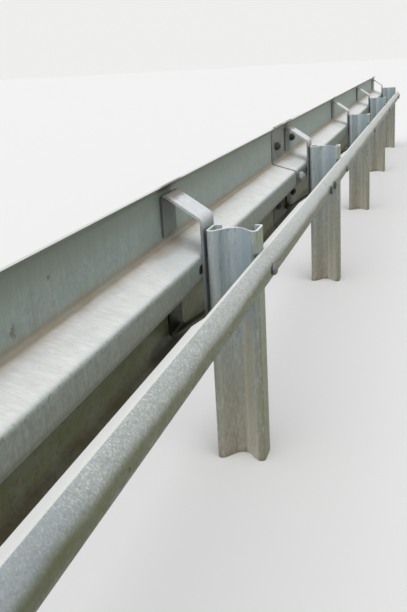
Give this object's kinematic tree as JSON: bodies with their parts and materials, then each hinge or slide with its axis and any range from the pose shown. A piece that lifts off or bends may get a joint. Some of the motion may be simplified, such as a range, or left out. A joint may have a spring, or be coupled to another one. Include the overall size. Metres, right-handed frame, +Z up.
{
  "type": "guardrail section",
  "caption": "Straight steel road guardrail section: folded rail beam held by bent flat-bar brackets in front of sigma posts, with a rounded strap along the back of the posts.",
  "frame": {"origin": "on the foot face of the first post, in the middle of its web, at ground level", "axes": "+X along the run, +Y toward the road (rail side), +Z up"},
  "size_m": [8.5198, 0.218, 0.5697],
  "materials": {
    "post_zinc": "weathered hot-dip galvanised",
    "bracket_zinc": "hot-dip galvanised",
    "plate_zinc": "hot-dip galvanised",
    "rail_zinc": "weathered hot-dip galvanised, dirt in the folds",
    "strap_zinc": "hot-dip galvanised with spangle"
  },
  "bodies": {
    "root": {"post_1": "post_zinc", "post_2": "post_zinc", "post_3": "post_zinc", "post_4": "post_zinc", "post_5": "post_zinc", "post_6": "post_zinc", "post_7": "post_zinc", "bracket_1": "bracket_zinc", "bracket_2": "bracket_zinc", "bracket_3": "bracket_zinc", "bracket_4": "bracket_zinc", "bracket_5": "bracket_zinc", "bracket_6": "bracket_zinc", "bracket_7": "bracket_zinc", "packing_plate_1": "plate_zinc", "packing_plate_2": "plate_zinc", "packing_plate_3": "plate_zinc", "packing_plate_4": "plate_zinc", "packing_plate_5": "plate_zinc", "packing_plate_6": "plate_zinc", "packing_plate_7": "plate_zinc", "cover_plate_1": "plate_zinc", "cover_plate_2": "plate_zinc", "cover_plate_3": "plate_zinc", "cover_plate_4": "plate_zinc", "cover_plate_5": "plate_zinc", "cover_plate_6": "plate_zinc", "cover_plate_7": "plate_zinc", "rail_1": "rail_zinc", "rail_2": "rail_zinc", "strap_1": "strap_zinc", "strap_2": "strap_zinc"}
  },
  "joints": []
}
